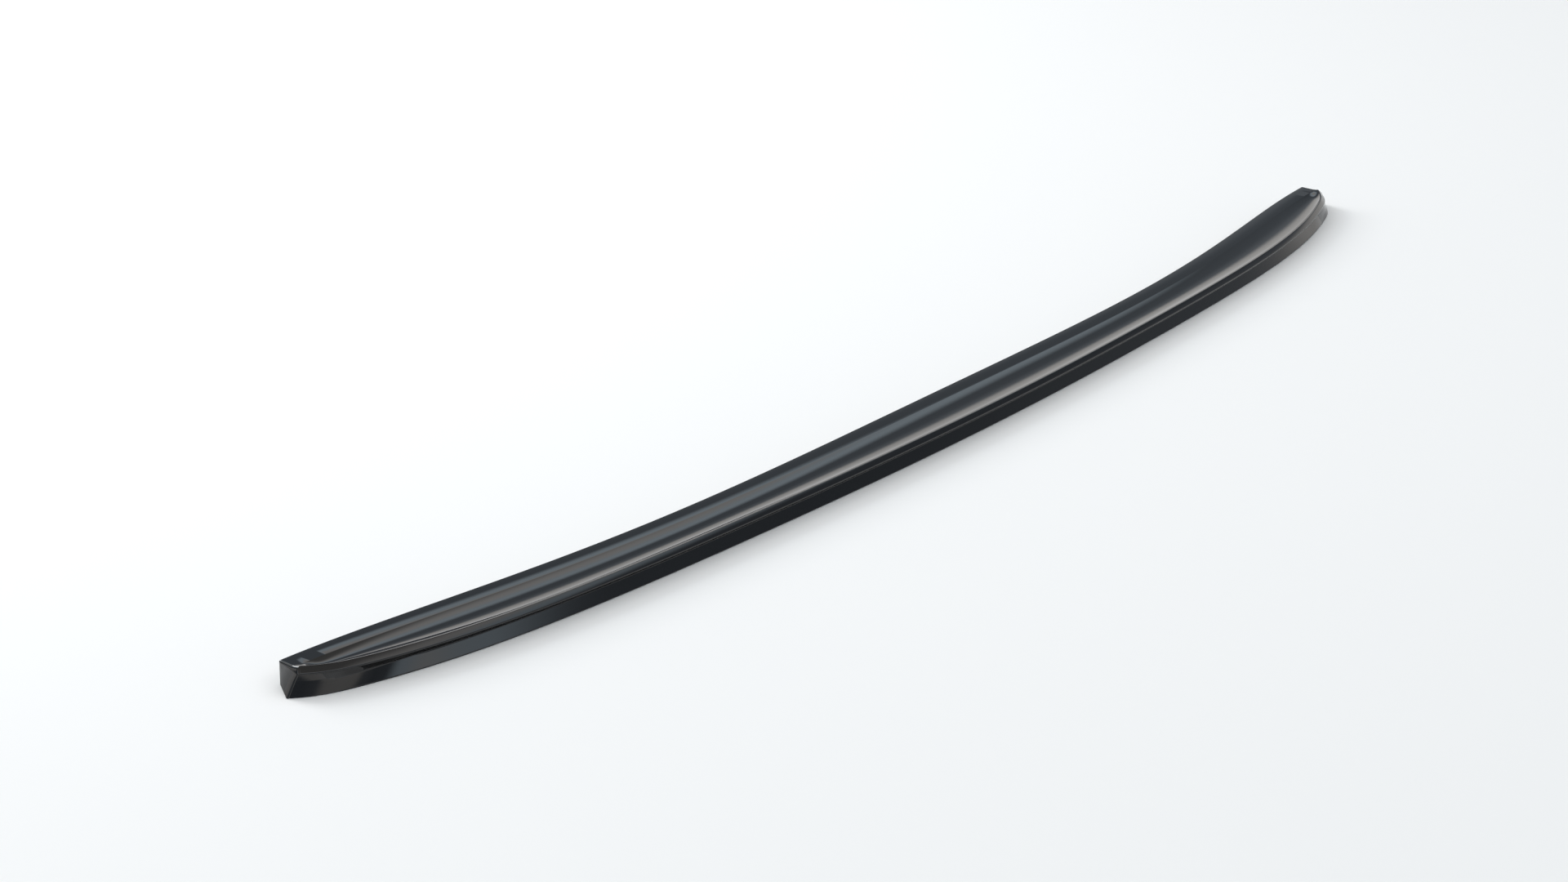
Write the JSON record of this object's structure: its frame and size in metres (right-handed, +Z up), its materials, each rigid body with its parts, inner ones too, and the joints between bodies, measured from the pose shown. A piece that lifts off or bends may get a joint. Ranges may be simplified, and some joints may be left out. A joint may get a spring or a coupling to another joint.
{
  "type": "boot-lid lip spoiler",
  "caption": "Long crescent boot-lid lip spoiler: glossy dished top shell over a lobed base plate, with double-sided tape and peel-off liners.",
  "frame": {"origin": "middle of the plan box, on the surface that the tape liners lie on", "axes": "+X along the spoiler to its right end, +Y towards the front of the car, +Z up"},
  "size_m": [1.2214, 0.0936, 0.017],
  "materials": {
    "gloss_shell": "high-gloss black ABS",
    "satin_plate": "smooth satin black ABS",
    "foam_tape": "black acrylic foam tape",
    "liner_film": "red polyethylene release film",
    "adhesive": "cured structural adhesive"
  },
  "bodies": {
    "spoiler": {"top_shell": "gloss_shell", "base_plate": "satin_plate", "tape_outer": "foam_tape", "tape_inner": "foam_tape", "tape_end_left": "foam_tape", "tape_end_right": "foam_tape", "bond_front": "adhesive", "bond_lobe_left": "adhesive", "bond_lobe_right": "adhesive", "rib_outer_left": "satin_plate", "rib_inner_left": "satin_plate", "rib_inner_right": "satin_plate", "rib_outer_right": "satin_plate"},
    "liner_outer": {"liner_outer": "liner_film"},
    "liner_inner": {"liner_inner": "liner_film"},
    "liner_end_left": {"liner_end_left": "liner_film"},
    "liner_end_right": {"liner_end_right": "liner_film"}
  },
  "joints": [
    {"name": "liner_outer_peel", "type": "slide", "parent": "spoiler", "child": "liner_outer", "axis": [0, 0, -1], "range_m": [0, 0.03]},
    {"name": "liner_inner_peel", "type": "slide", "parent": "spoiler", "child": "liner_inner", "axis": [0, 0, -1], "range_m": [0, 0.03]},
    {"name": "liner_end_left_peel", "type": "slide", "parent": "spoiler", "child": "liner_end_left", "axis": [0, 0, -1], "range_m": [0, 0.03]},
    {"name": "liner_end_right_peel", "type": "slide", "parent": "spoiler", "child": "liner_end_right", "axis": [0, 0, -1], "range_m": [0, 0.03]}
  ]
}
